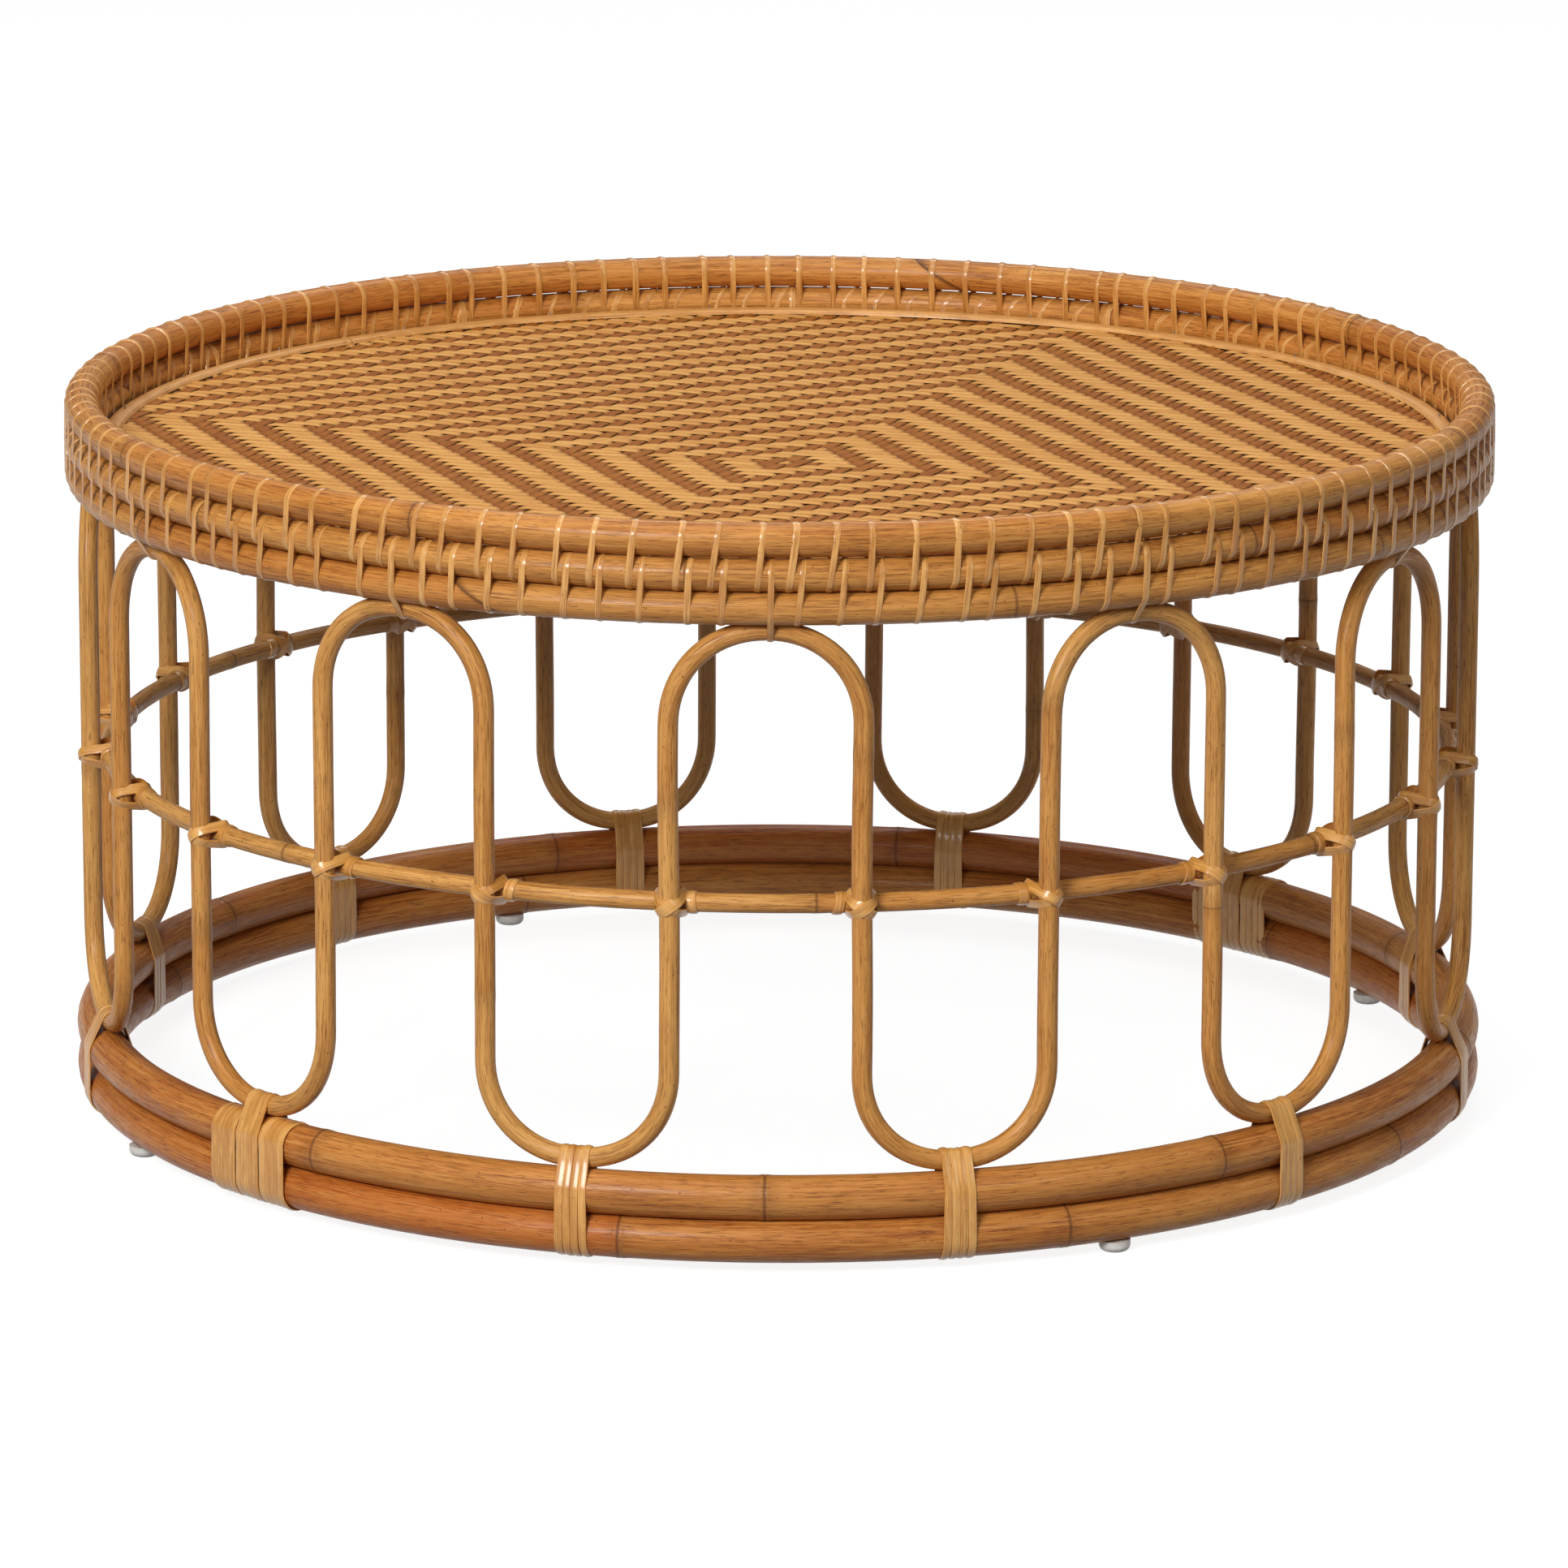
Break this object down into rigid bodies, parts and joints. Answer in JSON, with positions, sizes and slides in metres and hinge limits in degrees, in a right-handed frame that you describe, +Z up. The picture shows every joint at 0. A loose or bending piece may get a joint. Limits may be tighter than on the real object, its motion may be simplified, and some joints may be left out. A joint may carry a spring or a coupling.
{
  "type": "wicker coffee table",
  "caption": "Round low table of bent rattan: laced pole rim round a sunken woven top, arched cane sides with a hoop inside, and a bound double-pole base on plastic glides.",
  "frame": {"origin": "middle of the table, on the floor", "axes": "+Z up, -Y towards the front, an arch in line with each of X and Y"},
  "size_m": [0.8, 0.8, 0.406],
  "materials": {
    "tray_rattan": "honey-coloured rattan pole, satin varnish",
    "arch_rattan": "bent rattan cane, satin varnish",
    "base_rattan": "thick rattan pole, darker honey, satin varnish",
    "lacing_peel": "flat rattan peel, glossy skin side out",
    "binding_peel": "flat rattan peel, glossy skin side out",
    "woven_peel": "twill weave of light and brown flat strips, matt",
    "edge_strip": "half-round light rattan, satin",
    "plywood": "raw plywood, darkened",
    "glide_plastic": "moulded pearl-white plastic",
    "steel_wire": "drawn wire"
  },
  "bodies": {
    "root": {"tray_rim_pole": "tray_rattan", "tray_middle_pole": "tray_rattan", "tray_lower_pole": "tray_rattan", "tray_board": "plywood", "woven_mat": "woven_peel", "mat_edge_strip": "edge_strip", "upper_lacing": "lacing_peel", "lower_lacing": "lacing_peel", "arch_ties": "lacing_peel", "arch_cane_01": "arch_rattan", "arch_cane_02": "arch_rattan", "arch_cane_03": "arch_rattan", "arch_cane_04": "arch_rattan", "arch_cane_05": "arch_rattan", "arch_cane_06": "arch_rattan", "arch_cane_07": "arch_rattan", "arch_cane_08": "arch_rattan", "arch_cane_09": "arch_rattan", "arch_cane_10": "arch_rattan", "arch_cane_11": "arch_rattan", "arch_cane_12": "arch_rattan", "middle_hoop": "arch_rattan", "crossing_bindings": "binding_peel", "base_upper_pole": "base_rattan", "base_lower_pole": "base_rattan", "base_bindings": "binding_peel", "splice_wraps": "binding_peel", "glide_1": "glide_plastic", "glide_2": "glide_plastic", "glide_3": "glide_plastic", "glide_4": "glide_plastic", "glide_nails": "steel_wire", "crossing_brads": "steel_wire", "arch_top_brads": "steel_wire", "arch_foot_brads": "steel_wire", "board_brads": "steel_wire", "base_pole_brads": "steel_wire", "strip_pins": "steel_wire"}
  },
  "joints": []
}
